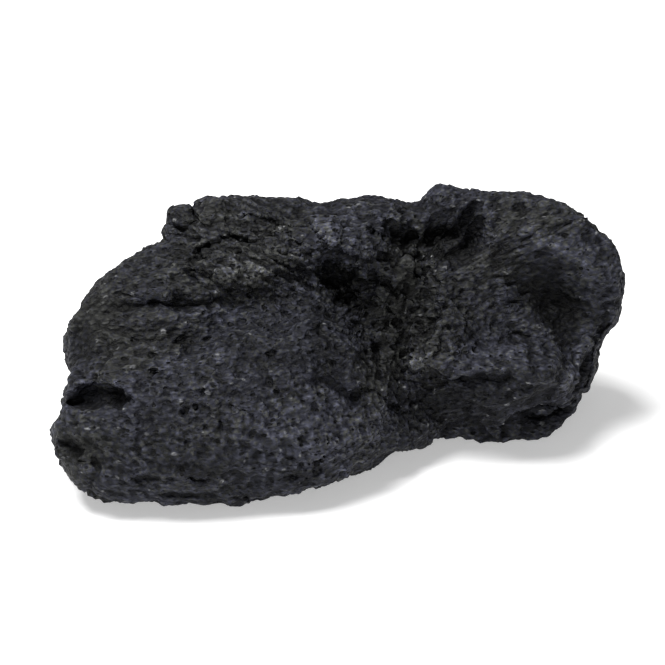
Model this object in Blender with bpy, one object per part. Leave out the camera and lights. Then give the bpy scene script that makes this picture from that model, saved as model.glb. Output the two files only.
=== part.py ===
"""A lava rock: one piece of black vesicular basalt, 250 mm long, lying on its worn base.

The stone starts as a field of round masses, bitten into underneath, broken flat at the top, the ends and
the back, trimmed to its outline and worn flat at the base. A cube's points are drawn onto the skin of that
field and evened out. The hollows, scarps, ridges and cracks of the front are then sunk along the line of
sight, and chips, lumps and folds are raised along the normals.
Sizes are in millimetres until the mesh is made. +X runs along the stone, -Y is its front, +Z is up.
"""

import bmesh
import bpy
import numpy as np
from mathutils import Matrix

MM = 0.001
CUTS = 63  # cuts across each side of the starting cube
TRIANGLES = 9200  # of the finished solid

# The front is drawn on a sheet that is tipped back, as seen from one point in front of the stone.
SHEET_MIDDLE = np.array([-2.8, 0.0, 57.0])
SHEET_TIP = np.radians(25)
VIEW_DISTANCE = 804.5
SHEET_RIGHT = np.array([1.0, 0.0, 0.0])
SHEET_UP = np.array([0.0, np.sin(SHEET_TIP), np.cos(SHEET_TIP)])
TOWARDS_EYE = np.array([0.0, -np.cos(SHEET_TIP), np.sin(SHEET_TIP)])
EYE = SHEET_MIDDLE + TOWARDS_EYE * VIEW_DISTANCE

HEART = np.array([0.0, 16.0, 43.0])  # the point that the skin is looked for from
REACH = np.array([126.0, 80.0, 58.0])  # half sizes of the oval that the search starts on
WORN_BASE = 0.8  # height of the worn underside before its lumps
BASE_ROUNDING = 6
OUTLINE_ROUNDING = 2

# Round masses: centre, half sizes, (yaw, pitch, roll) in degrees, corner radius (0 for an oval), blend
MASSES = {
    "core": ((0, 26, 46), (88, 48, 41), (8, 0, 8), 0, 8),
    "front foot": ((-74, -22, 25), (56, 45, 41), (12, 0, 0), 0, 8),
    "belly": ((-26, -22, 28), (68, 35, 41), (27, 0, 0), 0, 8),
    "left hump": ((-80, 12, 54), (45, 44, 35), (10, 0, 0), 0, 7),
    "top": ((-22, 38, 68), (56, 32, 33), (4, 4, 18), 12, 7),
    "horn": ((-68, 33, 93), (7, 15, 9), (25, 0, 0), 0, 4),
    "horn beside it": ((-54, 38, 97), (9, 17, 9), (-15, 0, 0), 0, 4),
    "right block": ((80, 48, 57), (50, 38, 47), (4, 6, -14), 22, 9),
    "block's corner": ((53, 52, 82), (13, 20, 24), (0, 0, -14), 8, 6),
    "shelf": ((66, 25, 32), (58, 42, 22), (8, 0, 0), 0, 6),
    "foot's right end": ((18, -12, 14), (27, 19, 20), (30, 0, 0), 0, 8),
    "right foot": ((68, 34, 10), (46, 32, 18), (6, 0, 0), 10, 6),
    "back": ((-18, 48, 44), (88, 34, 44), (6, 0, -12), 22, 14),
    "back right": ((62, 52, 40), (54, 30, 36), (-10, 0, -10), 20, 14),
}

# Bites out of the underside: centre, half sizes, (yaw, pitch, roll) in degrees, rounding of the edge
BITES = {
    "under the shelf": ((74, -31, -4), (50, 34, 36), (8, 0, 0), 5),
}

# Broken flats: a point on the flat, the way it faces, and the rounding of its edge
FLATS = {
    "top back left": ((-30, 46, 105), (-0.1, 0.56, 0.82), 5),
    "top back right": ((85, 47, 104), (0.16, 0.5, 0.85), 6),
    "left back": ((-98, 42, 50), (-0.62, 0.76, 0.18), 7),
    "left end": ((-114, 12, 61), (-0.86, 0.3, 0.42), 8),
    "right back": ((108, 66, 60), (0.66, 0.72, 0.2), 7),
    "right end": ((131.5, 40, 60), (0.97, -0.1, -0.22), 8),
    "back": ((-30, 78, 60), (-0.1, 0.98, -0.16), 6),
    "back right": ((50, 84, 50), (0.22, 0.96, -0.2), 6),
    "under back": ((0, 78, 12), (0.05, 0.72, -0.69), 8),
    "under right": ((112, 20, 14), (0.7, -0.1, -0.7), 8),
}

OUTLINE_MIDDLE = np.array([1.0, -5.5])
# The outline on the sheet, round the stone from the left end along the foot
OUTLINE = (
    (-118.5, -36), (-122, -42), (-122, -48), (-117.5, -56), (-108.5, -68), (-99, -73), (-79.5, -74.5),
    (-61, -75.5), (-55, -77.5), (-45.5, -78), (-35, -75), (-22, -71), (-12, -66.5), (0, -66), (9, -64),
    (16.5, -59), (22, -53), (27, -50.5), (42.5, -49), (55.5, -46), (79.5, -50.5), (90.5, -47), (99, -41.5),
    (105.5, -34), (108, -25), (111.5, -24), (113.5, -16.5), (115, -6.5), (119, 0.5), (125, 6.5),
    (127.5, 17.5), (126.5, 29.5), (121, 39), (109, 52.5), (101.5, 56), (92.5, 60), (79.5, 60.5),
    (64, 61.5), (53.5, 63), (47.5, 65), (43, 61.5), (38.5, 57.5), (33, 55.5), (3.5, 57), (-9, 55), (-18, 58),
    (-30.5, 59), (-50, 57.5), (-55.5, 59), (-59, 58), (-60.5, 53), (-62, 53), (-64, 54.5), (-69.5, 53.5),
    (-71, 51), (-70.5, 47), (-73, 43.5), (-71.5, 40), (-79.5, 37), (-86, 34), (-96, 27.5), (-103.5, 21.5),
    (-109.5, 13), (-114, 5.5), (-116.5, -4), (-115.5, -12), (-112.5, -18), (-113.5, -22.5), (-116.5, -29),
)

# Hollows on the sheet: centre, half sizes, turn in degrees, share of the size that is slope, depth.
# A swell has a depth below zero.
HOLLOWS = {
    "valley": ((34.5, 3.5), (27, 50), -4, 1, 10),
    "valley head": ((40.5, 42.5), (27, 17.5), 0, 1, 4),
    "cave": ((8, 17), (25, 14), -42, 0.8, 12),
    "cave left hole": ((0, 25.5), (9, 6), 0, 0.6, 9),
    "cave middle hole": ((6.5, 16), (7, 5.5), 0, 0.6, 9),
    "cave lower hole": ((13.5, 9.5), (5, 3.2), -40, 0.6, 5),
    "cave foot hole": ((7, 4), (5, 2.8), -20, 0.6, 4),
    "cave right hole": ((17.5, 25), (6.5, 4.5), -20, 0.6, 7),
    "notch": ((28, 40), (16, 9.5), -8, 0.7, 7),
    "notch left hole": ((20.5, 42), (6, 3.6), -25, 0.7, 4),
    "notch right hole": ((32, 41), (6.5, 5.5), 0, 0.8, 6),
    "notch lower hole": ((35, 34), (7.5, 2.6), 10, 0.6, 4),
    "ribbed hollow": ((54, 42), (18, 15.5), 28, 0.65, 11),
    "ribbed hollow's hole": ((50, 43), (9, 5), 5, 0.8, 5),
    "ribbed hollow's top slit": ((60.5, 54), (6, 3.4), 50, 0.8, 5),
    "ribbed hollow's low slit": ((55, 40.5), (7, 2.6), 45, 0.8, 4),
    "ribbed hollow's right slit": ((63, 40.5), (6.5, 3), 40, 0.8, 5),
    "valley cross crack": ((35.5, 26.5), (6, 2.8), -35, 0.6, 4),
    "valley pit": ((30.5, 4.5), (4, 2.8), -30, 0.6, 3),
    "valley low pit": ((17, -4), (3, 5), -10, 0.6, 3),
    "scoop": ((97, 13.5), (28, 14), -22, 1, 11),
    "scoop pit": ((78.5, 12.5), (4.2, 2.6), 10, 0.6, 4),
    "under the shelf": ((54, -32), (38, 12), 0, 1, 5),
    "under the block": ((93, -31), (20, 8), 14, 0.8, 9),
    "trough over the foot": ((-75, 12.5), (31, 6), 5, 1, 7),
    "foot's left hollow": ((-115, -50), (6, 4.5), 0, 0.8, 6),
    "foot's low hollow": ((-104.5, -58), (5, 2.5), -20, 0.8, 3),
    "belly's swell": ((2, -60), (40, 34), 0, 1, -7),
    "brow": ((-39, 20.5), (17, 12), -4, 1, -6),
    "plate": ((-45, 46.5), (13, 5), 0, 1, -2.5),
}

# Scarps on the sheet: route, height of its left side, how far that side reaches, width of the drop
SCARPS = {
    "slab": (((-10, 50), (-4.5, 41), (5, 34.5), (18, 32.5), (30.5, 34)), 10, 15, 1.5),
    "belly crest": (((31.5, -30.5), (18.5, -23), (10, -7.5), (2.5, 4.5), (-12.5, 14)), 7, 30, 4),
    "belly roll": (((13, -28.5), (6, -14.5), (-3.5, -1.5), (-16, 10.5)), 2.5, 14, 3),
    "fold 1": (((-66, 29), (-61, 28), (-54, 25.5), (-48.5, 21.5), (-44.5, 17)), 6, 11, 1),
    "fold 2": (((-84, 17.5), (-74, 14.5), (-65, 13.5), (-56, 14.5), (-50, 17)), 2, 9, 1.5),
    "fold 3": (((-62, 37), (-52, 38.5), (-45, 40.5), (-38, 38.5), (-19, 42), (-8, 39)), 3.5, 10, 1),
    "fold 4": (((-58, 51), (-46, 49), (-34, 50), (-22, 46), (-10, 47)), 3, 9, 1),
    "fold 5": (((-30, 35.5), (-22, 34), (-14, 32), (-6, 31.5)), 3, 9, 1),
    "shelf edge": (((31, -12), (38, -15), (52, -17), (70, -17.5), (88, -20.5), (103, -24)), 10, 16, 6),
    "overhang": (((69, -43), (74, -38), (81, -34.5), (88, -31), (98, -30), (107, -28)), 9, 20, 1),
    "right wall": (((118, 9), (115, 0), (112.5, -9), (109, -18), (105, -26)), -7, 14, 1.5),
    "valley's right wall": (((51, 10), (45, 3.5), (40, -2), (38, -6.5), (35.5, -11), (31, -18)), 5, 18, 2),
    "valley foot": (((34, -37), (25, -31), (14.5, -25), (7.5, -28.5)), 2.5, 10, 1),
    "right ridge": (((79, 47), (90, 41), (99, 36), (109.5, 28), (118.5, 20), (122, 13)), 5, 26, 9),
}

# Creases on the sheet: route, half width, depth. A ridge has a depth below zero.
CREASES = {
    "valley foot crack": (((7, -29.5), (10, -27), (14.5, -25), (20.5, -28), (33, -36.5)), 1.3, 5),
    "foot crack": (((-45.5, -32.5), (-40.5, -34), (-34, -35)), 1, 3),
    "groove": (((-8.5, -19), (-1, -24), (7.5, -28.5)), 2, 2.5),
    "fold crack 1": (((-62, 27.5), (-57, 27), (-52.5, 25), (-48.5, 21.5), (-45, 17.5)), 1.2, 4),
    "fold crack 2": (((-81, 16.5), (-74, 14.5), (-65, 13.5), (-57, 14.5)), 1.2, 2),
    "fold crack 3": (((-60, 36.5), (-52, 38), (-46.5, 39.5), (-40, 39.5), (-34, 38)), 1.4, 3.5),
    "fold crack 4": (((-29, 40), (-25, 42.5), (-18.5, 42.5)), 1.2, 3),
    "gap under the overhang": (((80, -35), (86, -31.5), (98, -30.5), (107, -28.5)), 1.3, 6),
    "slab ridge": (((-8.5, 51), (-5, 45.5), (-1, 41), (2.5, 37.5)), 3, -3),
    "between the horns": (((-61.5, 59), (-62, 52), (-59, 47)), 1.4, 6),
    "under the horn": (((-73, 47), (-67, 45.5), (-60, 46)), 1.6, 4),
    "lip": (((17, 52.5), (25, 51), (33, 47.5)), 2.5, -3.5),
    "rib 1": (((45, 37.5), (52, 46.5), (56.5, 56)), 1.3, -4),
    "rib 2": (((51, 35), (58, 43), (63.5, 52.5)), 1.3, -4),
}

SLOT_MIDDLE = (-102, -28.5)  # the lens-shaped gas hole at the left end
SLOT_HALF = (15, 8.5)
SLOT_DEPTH = 10
FOLDS_MIDDLE = (-38, 36)  # the ropy ground on the upper left
FOLDS_HALF = (50, 27)
FOLD_SPACING = 6.4
FOLD_LEFT = -75.0  # where the folds start; they dip more and more to the right of it
FOLD_DIP = 0.12
FOLD_BEND = 0.0034
VALLEY_MIDDLE = (27, 15)
VALLEY_HALF = (37, 49)


def smooth(t):
    """An S curve from 0 to 1."""
    t = np.clip(t, 0, 1)
    return t * t * (3 - 2 * t)


def lattice(cell, seed):
    """A fixed number from 0 to 1 for each whole-numbered cell."""
    n = (cell[:, 0] * 73856093) ^ (cell[:, 1] * 19349663) ^ (cell[:, 2] * 83492791) ^ (seed * 2654435761)
    n = n & 0xFFFFFFFF
    for _ in range(2):
        n = ((n ^ (n >> 16)) * 0x45D9F3B) & 0xFFFFFFFF
    return (n ^ (n >> 16)) / 0xFFFFFFFF


def noise(p, size, seed):
    """Smooth lumps from -1 to 1, about size across."""
    q = p / size
    cell = np.floor(q).astype(np.int64)
    f = q - cell
    f = f * f * f * (f * (f * 6 - 15) + 10)
    total = np.zeros(len(p))
    for corner in np.ndindex(2, 2, 2):
        weight = np.prod(np.where(corner, f, 1 - f), axis=1)
        total += weight * lattice(cell + np.array(corner), seed)
    return total * 2 - 1


def layered_noise(p, size, layers, seed):
    """Noise with finer, lower noise on top of it."""
    return sum(noise(p + 17.3 * k, size / 2**k, seed + k) / 2**k for k in range(layers))


def chips(p, size, seed):
    """Flat, tilted ground broken at sharp edges: each cell's own point carries a small plane."""
    q = p / size
    cell = np.floor(q).astype(np.int64)
    nearest = np.full(len(p), 1e9)
    height = np.zeros(len(p))
    for step in np.ndindex(3, 3, 3):
        c = cell + np.array(step) - 1
        offset = q - c - np.stack([lattice(c, seed + k) for k in range(3)], 1)
        far = (offset * offset).sum(1)
        tilt = np.stack([lattice(c, seed + 3 + k) for k in range(3)], 1) - 0.5
        plane = 2 * (offset * tilt).sum(1) + (lattice(c, seed + 9) - 0.5) / 2
        height = np.where(far < nearest, plane, height)
        nearest = np.minimum(far, nearest)
    return height


def turned(p, centre, turn):
    """Points in the axes of a mass: yaw about Z, then pitch about Y, then roll about X."""
    x, y, z = (p - np.array(centre)).T
    yaw, pitch, roll = np.radians(turn)
    x, y = np.cos(yaw) * x + np.sin(yaw) * y, np.cos(yaw) * y - np.sin(yaw) * x
    x, z = np.cos(pitch) * x + np.sin(pitch) * z, np.cos(pitch) * z - np.sin(pitch) * x
    y, z = np.cos(roll) * y + np.sin(roll) * z, np.cos(roll) * z - np.sin(roll) * y
    return np.stack([x, y, z], 1)


def mass(p, centre, half, turn, corner):
    """Distance to an oval or to a block with round corners, below zero inside."""
    q = turned(p, centre, turn)
    half = np.array(half, float)
    if corner:
        d = np.abs(q) - (half - corner)
        return np.linalg.norm(np.maximum(d, 0), axis=1) + np.minimum(d.max(1), 0) - corner
    near = np.linalg.norm(q / half, axis=1)
    return near * (near - 1) / np.maximum(np.linalg.norm(q / half**2, axis=1), 1e-9)


def soft_min(a, b, blend):
    """The smaller of two distances, with the crease between them filled over blend."""
    h = np.clip(0.5 + 0.5 * (b - a) / blend, 0, 1)
    return b * (1 - h) + a * h - blend * h * (1 - h)


def soft_max(a, b, blend):
    return -soft_min(-a, -b, blend)


def on_sheet(p):
    """Where the line of sight through each point crosses the sheet."""
    d = p - EYE
    scale = VIEW_DISTANCE / -(d @ TOWARDS_EYE)
    return (d @ SHEET_RIGHT) * scale, (d @ SHEET_UP) * scale


def past_outline(u, v):
    """Distance outside the outline, measured from its middle."""
    points = np.array(OUTLINE) - OUTLINE_MIDDLE
    angle = np.arctan2(points[:, 1], points[:, 0])
    order = np.argsort(angle)
    radius = np.hypot(*points.T)[order]
    a, b = u - OUTLINE_MIDDLE[0], v - OUTLINE_MIDDLE[1]
    return np.hypot(a, b) - np.interp(np.arctan2(b, a), angle[order], radius, period=2 * np.pi)


def field(p):
    """Distance to the smooth stone, below zero inside."""
    d = None
    for centre, half, turn, corner, blend in MASSES.values():
        one = mass(p, centre, half, turn, corner)
        d = one if d is None else soft_min(d, one, blend)
    for centre, half, turn, rounding in BITES.values():
        d = soft_max(d, -mass(p, centre, half, turn, 0), rounding)
    for point, faces, rounding in FLATS.values():
        faces = np.array(faces) / np.linalg.norm(faces)
        d = soft_max(d, (p - np.array(point)) @ faces, rounding)
    d = soft_max(d, 0.9 * past_outline(*on_sheet(p)), OUTLINE_ROUNDING)
    return soft_max(d, WORN_BASE - p[:, 2], BASE_ROUNDING)


def first_skin(directions, steps=30, halvings=12):
    """Each direction's outermost point on the skin: inward in steps, then by halving the last step."""
    ray = directions * REACH
    outer = np.full(len(ray), 1.6)
    inner = outer - 1.6 / steps
    for _ in range(steps):
        outside = field(HEART + ray * inner[:, None]) > 0
        outer = np.where(outside, inner, outer)
        inner = np.where(outside, inner - 1.6 / steps, inner)
    for _ in range(halvings):
        middle = (outer + inner) / 2
        outside = field(HEART + ray * middle[:, None]) > 0
        outer = np.where(outside, middle, outer)
        inner = np.where(outside, inner, middle)
    return HEART + ray * outer[:, None]


def gathered(index, values, count):
    """Sums of the values that go to each point."""
    return np.stack([np.bincount(index, column, count) for column in values.T], 1)


def normals(p, quads):
    """Outward unit normals at the points of a quad mesh."""
    a, b, c, d = (p[quads[:, k]] for k in range(4))
    face = np.cross(c - a, d - b)
    total = sum(gathered(quads[:, k], face, len(p)) for k in range(4))
    return total / np.maximum(np.linalg.norm(total, axis=1), 1e-9)[:, None]


def relaxed(p, quads, rounds=20):
    """Evens out the spacing: each point goes towards the middle of its neighbours, then back to the skin."""
    count = 2 * np.bincount(quads.ravel(), minlength=len(p))[:, None]
    for _ in range(rounds):
        near = sum(
            gathered(quads[:, k], p[quads[:, (k + 1) % 4]] + p[quads[:, k - 1]], len(p)) for k in range(4)
        )
        p = p + 0.7 * (near / count - p)
        p = p - normals(p, quads) * np.clip(field(p), -2, 2)[:, None]
    return p


def spot(u, v, middle, half, turn, slope):
    """1 inside an oval on the sheet and 0 outside it, with the slope taking a share of its size."""
    a, b = u - middle[0], v - middle[1]
    turn = np.radians(turn)
    across = (np.cos(turn) * a + np.sin(turn) * b) / half[0]
    up = (np.cos(turn) * b - np.sin(turn) * a) / half[1]
    return smooth((1 - np.hypot(across, up)) / slope)


def beside(u, v, route):
    """Distance from a route, above zero on its left, and how far along it each point lies (0 to 1)."""
    route = np.array(route, float)
    length = np.linalg.norm(np.diff(route, axis=0), axis=1)
    start = np.concatenate([[0], np.cumsum(length)])
    nearest, away, along = (np.full(u.shape, value) for value in (1e9, 0.0, 0.0))
    for k, (first, last) in enumerate(zip(route[:-1], route[1:])):
        d = (last - first) / length[k]
        a, b = u - first[0], v - first[1]
        t = a * d[0] + b * d[1]
        held = np.clip(t, 0, length[k])
        far = np.hypot(a - held * d[0], b - held * d[1])
        closer = far < nearest
        away = np.where(closer, np.sign(d[0] * b - d[1] * a) * far, away)
        along = np.where(closer, (start[k] + t) / start[-1], along)
        nearest = np.minimum(far, nearest)
    return away, along


def slot(u, v):
    """The gas hole: a lens with an arched top and a nearly straight lower edge."""
    a, b = (u - SLOT_MIDDLE[0]) / SLOT_HALF[0], (v - SLOT_MIDDLE[1]) / SLOT_HALF[1]
    arch = 1 - a * a
    return smooth(3 * arch) * smooth((0.95 * arch - b) / 0.4) * smooth((b + 0.6) / 0.4)


def wobbled(u, v):
    """Places on the sheet, bent so that no mark keeps a straight edge."""
    flat = np.stack([u, v, np.zeros_like(u)], 1)
    return u + 1.8 * layered_noise(flat, 11, 3, 5), v + 1.8 * layered_noise(flat, 11, 3, 8)


def hollowed(u, v):
    """Depth of the hollows alone."""
    return sum(deep * spot(u, v, *shape) for *shape, deep in HOLLOWS.values())


def sunk(p):
    """How deep each point of the front goes, away from the eye."""
    u, v = on_sheet(p)
    depth = SLOT_DEPTH * slot(u, v)
    u, v = wobbled(u, v)
    depth += hollowed(u, v)
    for route, high, reach, drop in SCARPS.values():
        away, along = beside(u, v, route)
        ends = smooth(np.minimum(along, 1 - along) / 0.18 + 0.15)
        depth -= high * ends * smooth(away / drop + 0.5) * np.exp(-np.maximum(away, 0) / reach)
    for route, half, deep in CREASES.values():
        away, along = beside(u, v, route)
        ends = smooth(np.minimum(along, 1 - along) / 0.12 + 0.3)
        depth += deep * ends * np.exp(-((away / half) ** 2))
    return depth


def plates(u, v, p, spacing, seed):
    """Stacked, broken plates that dip to the right: a saw-tooth, each tooth overhanging on its lower side."""
    past = u - FOLD_LEFT
    across = v + FOLD_DIP * past + FOLD_BEND * past * np.abs(past)
    q = np.stack([u / 3, across, p[:, 1] / 2], 1)
    phase = across / spacing + 0.7 * noise(q, 8, seed) + 0.3 * noise(p, 6, seed + 1)
    tooth = 1 - phase + np.floor(phase)
    return tooth**0.8 * (1 - smooth((tooth - 0.86) / 0.14)) - 0.4


def raised(p, quads):
    """Heights along the normals: chips, lumps, clinker in the valley and the ropy folds."""
    u, v = on_sheet(p)
    facing = smooth(normals(p, quads) @ TOWARDS_EYE / 0.35)
    ropy = facing * spot(u, v, FOLDS_MIDDLE, FOLDS_HALF, -12, 0.5)
    valley = facing * spot(u, v, VALLEY_MIDDLE, VALLEY_HALF, 0, 0.6)
    rough = 0.35 + 0.5 * smooth(noise(p, 40, 77) + 0.3) + 0.5 * valley
    height = 1.5 * chips(p, 22, 3) + 1.3 * layered_noise(p, 16, 2, 11)
    height += 2.2 * rough * (0.5 - np.abs(noise(p, 7, 21)))
    return height + 2.0 * ropy * plates(u, v, p, FOLD_SPACING, 31)


def stone_points(directions, quads):
    """The finished surface's points for a closed grid of directions."""
    p = relaxed(first_skin(directions), quads)
    facing = smooth(normals(p, quads) @ TOWARDS_EYE / 0.35)
    p = p - TOWARDS_EYE * (sunk(p) * facing)[:, None]
    return p + normals(p, quads) * raised(p, quads)[:, None]


def cube_grid(cuts):
    """A cube cut into a grid, as a mesh, with the directions of its points and its quads."""
    grid = bmesh.new()
    bmesh.ops.create_cube(grid, size=2)
    bmesh.ops.subdivide_edges(grid, edges=grid.edges[:], cuts=cuts, use_grid_fill=True)
    mesh = bpy.data.meshes.new("lava_rock")
    grid.to_mesh(mesh)
    grid.free()
    corners = np.array([vertex.co for vertex in mesh.vertices])
    quads = np.array([face.vertices for face in mesh.polygons])
    directions = np.tan(corners * np.pi / 4)
    return mesh, directions / np.linalg.norm(directions, axis=1)[:, None], quads


def black_basalt():
    material = bpy.data.materials.new("black basalt")
    material.use_nodes = True
    shader = material.node_tree.nodes["Principled BSDF"]
    shader.inputs["Base Color"].default_value = (0.028, 0.029, 0.033, 1)
    shader.inputs["Roughness"].default_value = 0.85
    shader.inputs["Metallic"].default_value = 0
    return material


def ground_cutter():
    """A block under the stone, whose top face wears the base flat at Z = 0."""
    bpy.ops.mesh.primitive_cube_add(size=1, location=(0, 0, -0.05), scale=(0.4, 0.3, 0.1))
    cutter = bpy.context.object
    cutter.name = "ground cutter"
    cutter.hide_render = True
    cutter.display_type = "WIRE"
    return cutter


def lava_rock():
    mesh, directions, quads = cube_grid(CUTS)
    points = stone_points(directions, quads) * MM
    mesh.vertices.foreach_set("co", points.astype(np.float32).ravel())
    mesh.update()
    mesh.shade_smooth()
    mesh.materials.append(black_basalt())
    stone = bpy.data.objects.new("lava_rock", mesh)
    bpy.context.collection.objects.link(stone)
    thin = stone.modifiers.new("fewer faces", "DECIMATE")
    thin.ratio = TRIANGLES / (2 * len(quads))
    wear = stone.modifiers.new("worn base", "BOOLEAN")
    wear.operation = "DIFFERENCE"
    wear.solver = "EXACT"
    wear.object = ground_cutter()
    return stone


def centre(stone):
    """Moves the mesh so that the middle of the stone's box stands over the origin."""
    graph = bpy.context.evaluated_depsgraph_get()
    corners = np.array([corner[:] for corner in stone.evaluated_get(graph).bound_box])
    middle = (corners.min(0) + corners.max(0)) / 2
    stone.data.transform(Matrix.Translation((-middle[0], -middle[1], 0)))


def main():
    for obj in list(bpy.data.objects):
        bpy.data.objects.remove(obj)
    centre(lava_rock())


if __name__ == "__main__":
    main()
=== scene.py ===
"""A lava rock on a pale floor: one piece of black vesicular basalt, 250 mm long, lying on its worn base.

Sizes are in millimetres until the mesh is made. +X runs along the stone, -Y is its front, +Z is up.
The skin is made as the solid's is: round masses, bitten into underneath, broken flat, trimmed to an outline
and worn flat at the base. Marks are sunk into the front along the line of sight. Then chips, lumps, folds,
clinker and gas bubbles are raised or sunk along the normals.
"""

import bpy
import numpy as np
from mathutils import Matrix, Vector


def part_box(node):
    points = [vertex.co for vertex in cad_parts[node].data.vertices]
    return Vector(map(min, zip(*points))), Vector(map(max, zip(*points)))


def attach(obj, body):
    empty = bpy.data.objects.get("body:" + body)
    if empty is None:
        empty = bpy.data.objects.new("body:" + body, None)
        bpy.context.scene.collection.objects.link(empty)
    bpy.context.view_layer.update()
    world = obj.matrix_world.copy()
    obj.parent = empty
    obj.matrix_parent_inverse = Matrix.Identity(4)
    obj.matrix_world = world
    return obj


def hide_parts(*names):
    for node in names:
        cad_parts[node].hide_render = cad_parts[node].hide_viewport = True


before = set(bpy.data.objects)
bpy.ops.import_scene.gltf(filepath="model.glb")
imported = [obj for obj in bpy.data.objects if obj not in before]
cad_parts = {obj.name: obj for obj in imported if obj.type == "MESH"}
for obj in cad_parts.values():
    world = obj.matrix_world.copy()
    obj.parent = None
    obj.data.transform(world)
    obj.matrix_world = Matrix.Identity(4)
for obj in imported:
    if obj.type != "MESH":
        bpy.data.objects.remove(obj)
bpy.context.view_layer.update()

MM = 0.001
GRID_CELLS = (196, 117, 86)  # cells along X, Y and Z of the box that the skin is drawn on
GRID_LEAN = 0.22  # how far the grid is drawn towards the front, where the finest marks are

# The front is drawn on a sheet that is tipped back, as seen from one point in front of the stone.
SHEET_MIDDLE = np.array([-2.8, 0.0, 57.0])
SHEET_TIP = np.radians(25)
VIEW_DISTANCE = 804.5
SHEET_RIGHT = np.array([1.0, 0.0, 0.0])
SHEET_UP = np.array([0.0, np.sin(SHEET_TIP), np.cos(SHEET_TIP)])
TOWARDS_EYE = np.array([0.0, -np.cos(SHEET_TIP), np.sin(SHEET_TIP)])
EYE = SHEET_MIDDLE + TOWARDS_EYE * VIEW_DISTANCE

HEART = np.array([0.0, 16.0, 43.0])  # the point that the skin is looked for from
REACH = np.array([126.0, 80.0, 58.0])  # half sizes of the oval that the search starts on
WORN_BASE = 0.8  # height of the worn underside before its lumps
BASE_ROUNDING = 6
OUTLINE_ROUNDING = 2

# Round masses: centre, half sizes, (yaw, pitch, roll) in degrees, corner radius (0 for an oval), blend
MASSES = {
    "core": ((0, 26, 46), (88, 48, 41), (8, 0, 8), 0, 8),
    "front foot": ((-74, -22, 25), (56, 45, 41), (12, 0, 0), 0, 8),
    "belly": ((-26, -22, 28), (68, 35, 41), (27, 0, 0), 0, 8),
    "left hump": ((-80, 12, 54), (45, 44, 35), (10, 0, 0), 0, 7),
    "top": ((-22, 38, 68), (56, 32, 33), (4, 4, 18), 12, 7),
    "horn": ((-68, 33, 93), (7, 15, 9), (25, 0, 0), 0, 4),
    "horn beside it": ((-54, 38, 97), (9, 17, 9), (-15, 0, 0), 0, 4),
    "right block": ((80, 48, 57), (50, 38, 47), (4, 6, -14), 22, 9),
    "block's corner": ((53, 52, 82), (13, 20, 24), (0, 0, -14), 8, 6),
    "shelf": ((66, 25, 32), (58, 42, 22), (8, 0, 0), 0, 6),
    "foot's right end": ((18, -12, 14), (27, 19, 20), (30, 0, 0), 0, 8),
    "right foot": ((68, 34, 10), (46, 32, 18), (6, 0, 0), 10, 6),
    "back": ((-18, 48, 44), (88, 34, 44), (6, 0, -12), 22, 14),
    "back right": ((62, 52, 40), (54, 30, 36), (-10, 0, -10), 20, 14),
}

# Bites out of the underside: centre, half sizes, (yaw, pitch, roll) in degrees, rounding of the edge
BITES = {
    "under the shelf": ((74, -31, -4), (50, 34, 36), (8, 0, 0), 5),
}

# Broken flats: a point on the flat, the way it faces, and the rounding of its edge
FLATS = {
    "top back left": ((-30, 46, 105), (-0.1, 0.56, 0.82), 5),
    "top back right": ((85, 47, 104), (0.16, 0.5, 0.85), 6),
    "left back": ((-98, 42, 50), (-0.62, 0.76, 0.18), 7),
    "left end": ((-114, 12, 61), (-0.86, 0.3, 0.42), 8),
    "right back": ((108, 66, 60), (0.66, 0.72, 0.2), 7),
    "right end": ((131.5, 40, 60), (0.97, -0.1, -0.22), 8),
    "back": ((-30, 78, 60), (-0.1, 0.98, -0.16), 6),
    "back right": ((50, 84, 50), (0.22, 0.96, -0.2), 6),
    "under back": ((0, 78, 12), (0.05, 0.72, -0.69), 8),
    "under right": ((112, 20, 14), (0.7, -0.1, -0.7), 8),
}

OUTLINE_MIDDLE = np.array([1.0, -5.5])
# The outline on the sheet, round the stone from the left end along the foot
OUTLINE = (
    (-118.5, -36), (-122, -42), (-122, -48), (-117.5, -56), (-108.5, -68), (-99, -73), (-79.5, -74.5),
    (-61, -75.5), (-55, -77.5), (-45.5, -78), (-35, -75), (-22, -71), (-12, -66.5), (0, -66), (9, -64),
    (16.5, -59), (22, -53), (27, -50.5), (42.5, -49), (55.5, -46), (79.5, -50.5), (90.5, -47), (99, -41.5),
    (105.5, -34), (108, -25), (111.5, -24), (113.5, -16.5), (115, -6.5), (119, 0.5), (125, 6.5),
    (127.5, 17.5), (126.5, 29.5), (121, 39), (109, 52.5), (101.5, 56), (92.5, 60), (79.5, 60.5),
    (64, 61.5), (53.5, 63), (47.5, 65), (43, 61.5), (38.5, 57.5), (33, 55.5), (3.5, 57), (-9, 55), (-18, 58),
    (-30.5, 59), (-50, 57.5), (-55.5, 59), (-59, 58), (-60.5, 53), (-62, 53), (-64, 54.5), (-69.5, 53.5),
    (-71, 51), (-70.5, 47), (-73, 43.5), (-71.5, 40), (-79.5, 37), (-86, 34), (-96, 27.5), (-103.5, 21.5),
    (-109.5, 13), (-114, 5.5), (-116.5, -4), (-115.5, -12), (-112.5, -18), (-113.5, -22.5), (-116.5, -29),
)

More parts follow.
